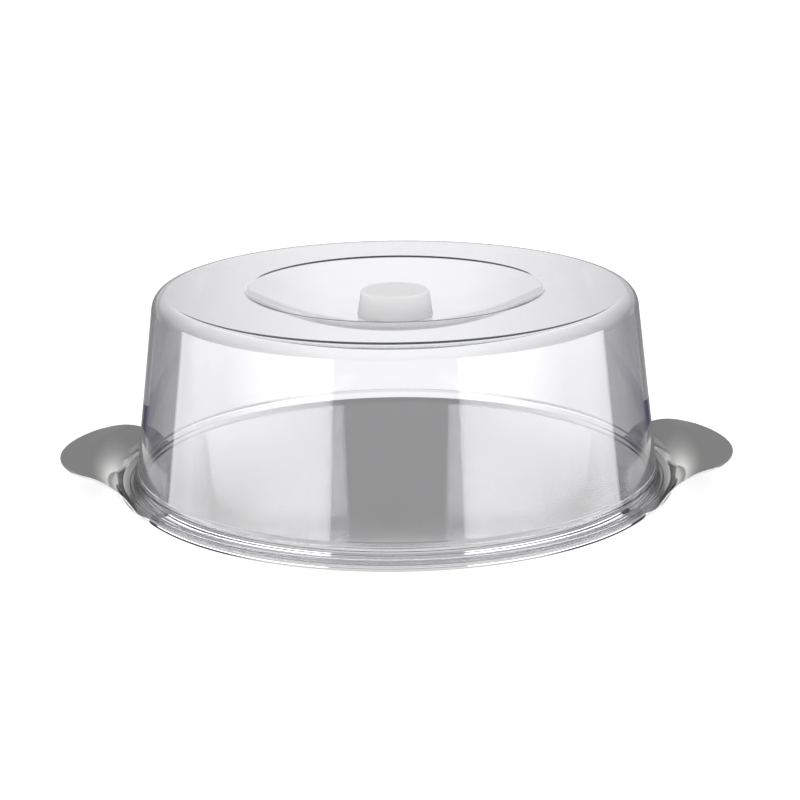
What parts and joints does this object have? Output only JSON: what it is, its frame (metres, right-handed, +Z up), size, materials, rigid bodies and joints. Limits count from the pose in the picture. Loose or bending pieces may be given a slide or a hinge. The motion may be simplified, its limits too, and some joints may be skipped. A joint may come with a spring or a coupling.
{
  "type": "covered cake platter",
  "caption": "Round steel serving platter with two swept-up wing handles, under a loose clear domed cover with a sunken top and a frosted finger knob.",
  "frame": {"origin": "on the table, under the centre of the platter", "axes": "+Z up, +X along the two handles, +Y across them; the picture looks from -Y"},
  "size_m": [0.376, 0.3, 0.111],
  "materials": {
    "satin_steel": "stainless steel with a fine satin polish",
    "clear_plastic": "clear moulded plastic, polished",
    "frosted_plastic": "clear plastic, frosted"
  },
  "bodies": {
    "platter": {"platter": "satin_steel"},
    "cover": {"cover": "clear_plastic", "knob": "frosted_plastic"}
  },
  "joints": [
    {"name": "cover_lift", "type": "slide", "parent": "platter", "child": "cover", "axis": [0, 0, 1], "range_m": [0, 0.13]}
  ]
}
